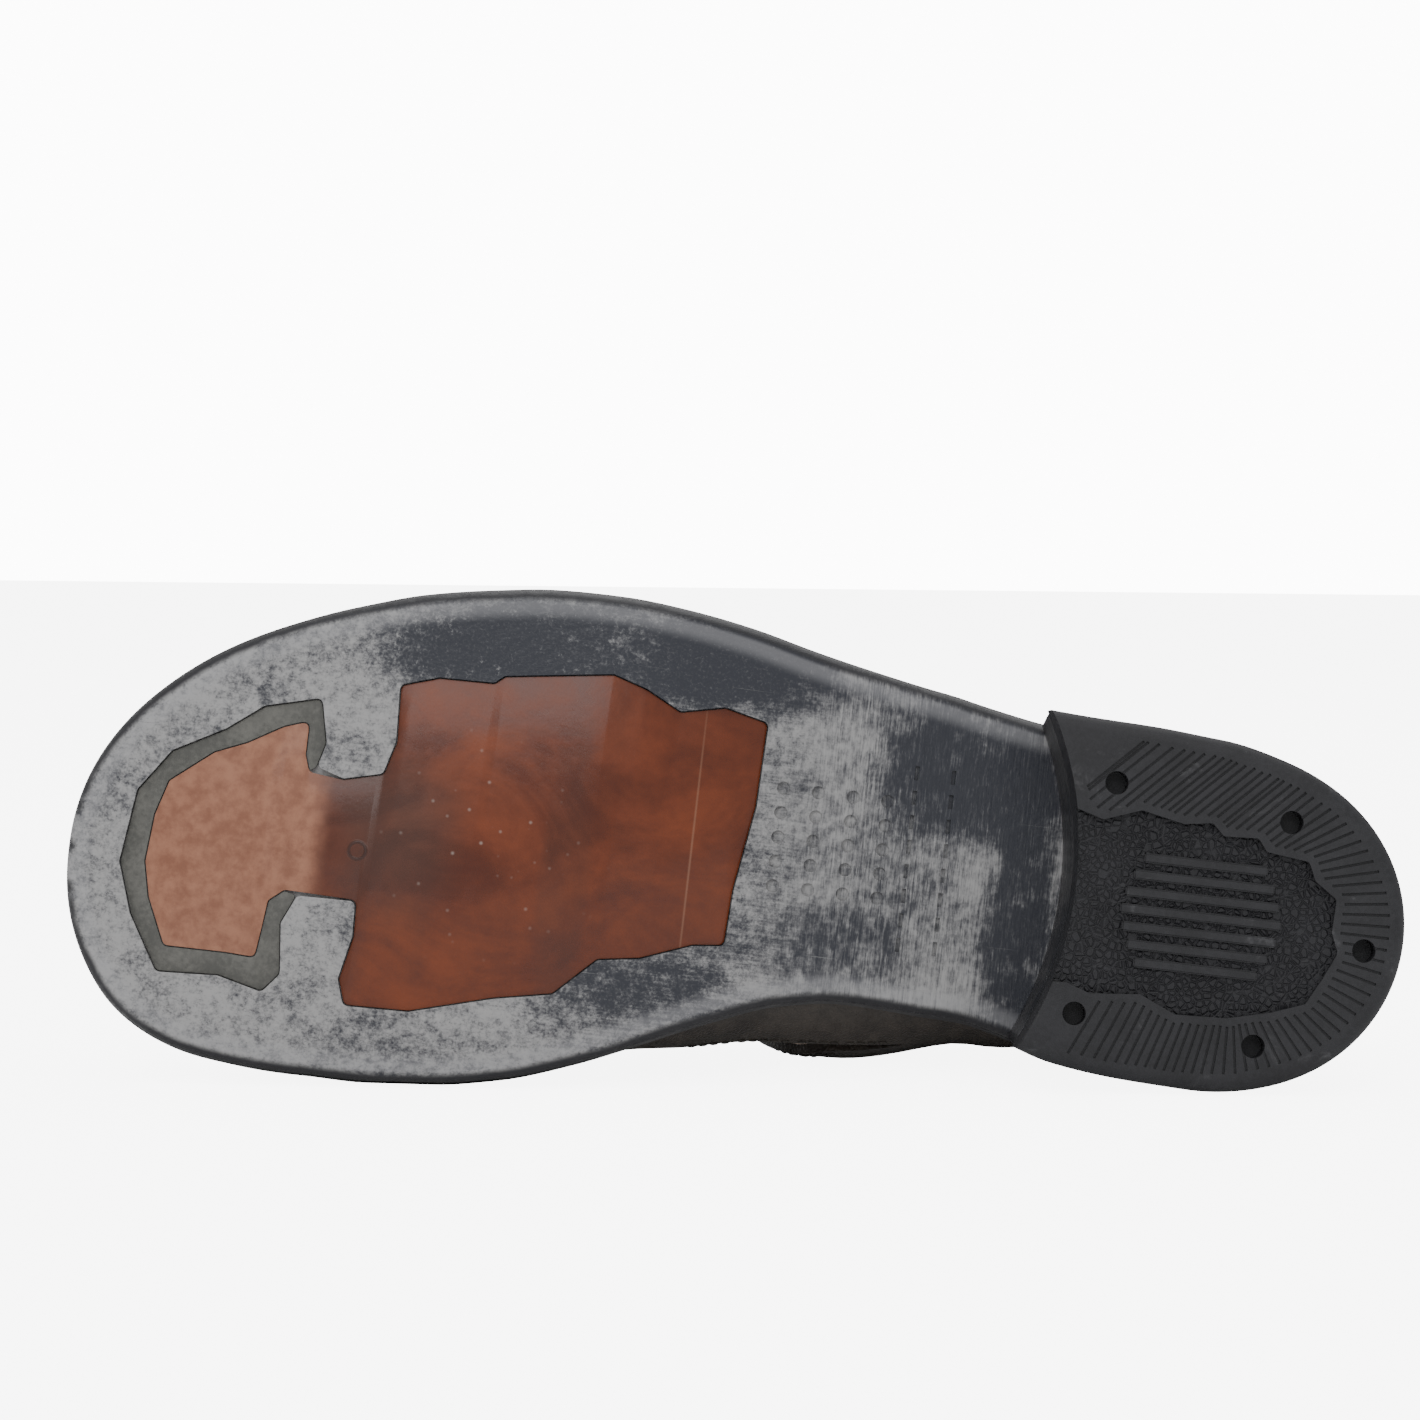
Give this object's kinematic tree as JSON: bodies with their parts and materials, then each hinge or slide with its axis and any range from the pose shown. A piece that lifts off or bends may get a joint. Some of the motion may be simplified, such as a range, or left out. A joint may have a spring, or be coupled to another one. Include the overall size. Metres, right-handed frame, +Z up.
{
  "type": "low shoe",
  "caption": "Left low slip-on leather shoe with elastic side gussets and a stacked heel, lying on its inner side with the sole in view.",
  "frame": {"origin": "middle of the bounding box's underside, on the floor that the shoe lies on", "axes": "+X towards the heel, -Y the way the sole faces, +Z up; the shoe's outer side is on top"},
  "size_m": [0.3, 0.0966, 0.1102],
  "materials": {
    "brown_leather": "soft semi-gloss dark brown-grey calf leather",
    "black_elastic": "matt black woven elastic",
    "worn_grey_sole": "brushed grey over black, scratched and mottled",
    "black_edge": "burnished black edge",
    "amber_inlay": "glossy reddish-brown moulded rubber",
    "olive_border": "matt olive-grey rubber",
    "heel_rubber": "charcoal rubber, pebbled inside its recess",
    "tan_insole": "plain tan lining leather"
  },
  "bodies": {
    "root": {"outsole": "worn_grey_sole", "midsole": "black_edge", "inlay": "amber_inlay", "inlay_border": "olive_border", "heel_block": "black_edge", "heel_top_lift": "heel_rubber", "upper": "brown_leather", "gusset_outer": "black_elastic", "gusset_inner": "black_elastic", "insole": "tan_insole"}
  },
  "joints": []
}
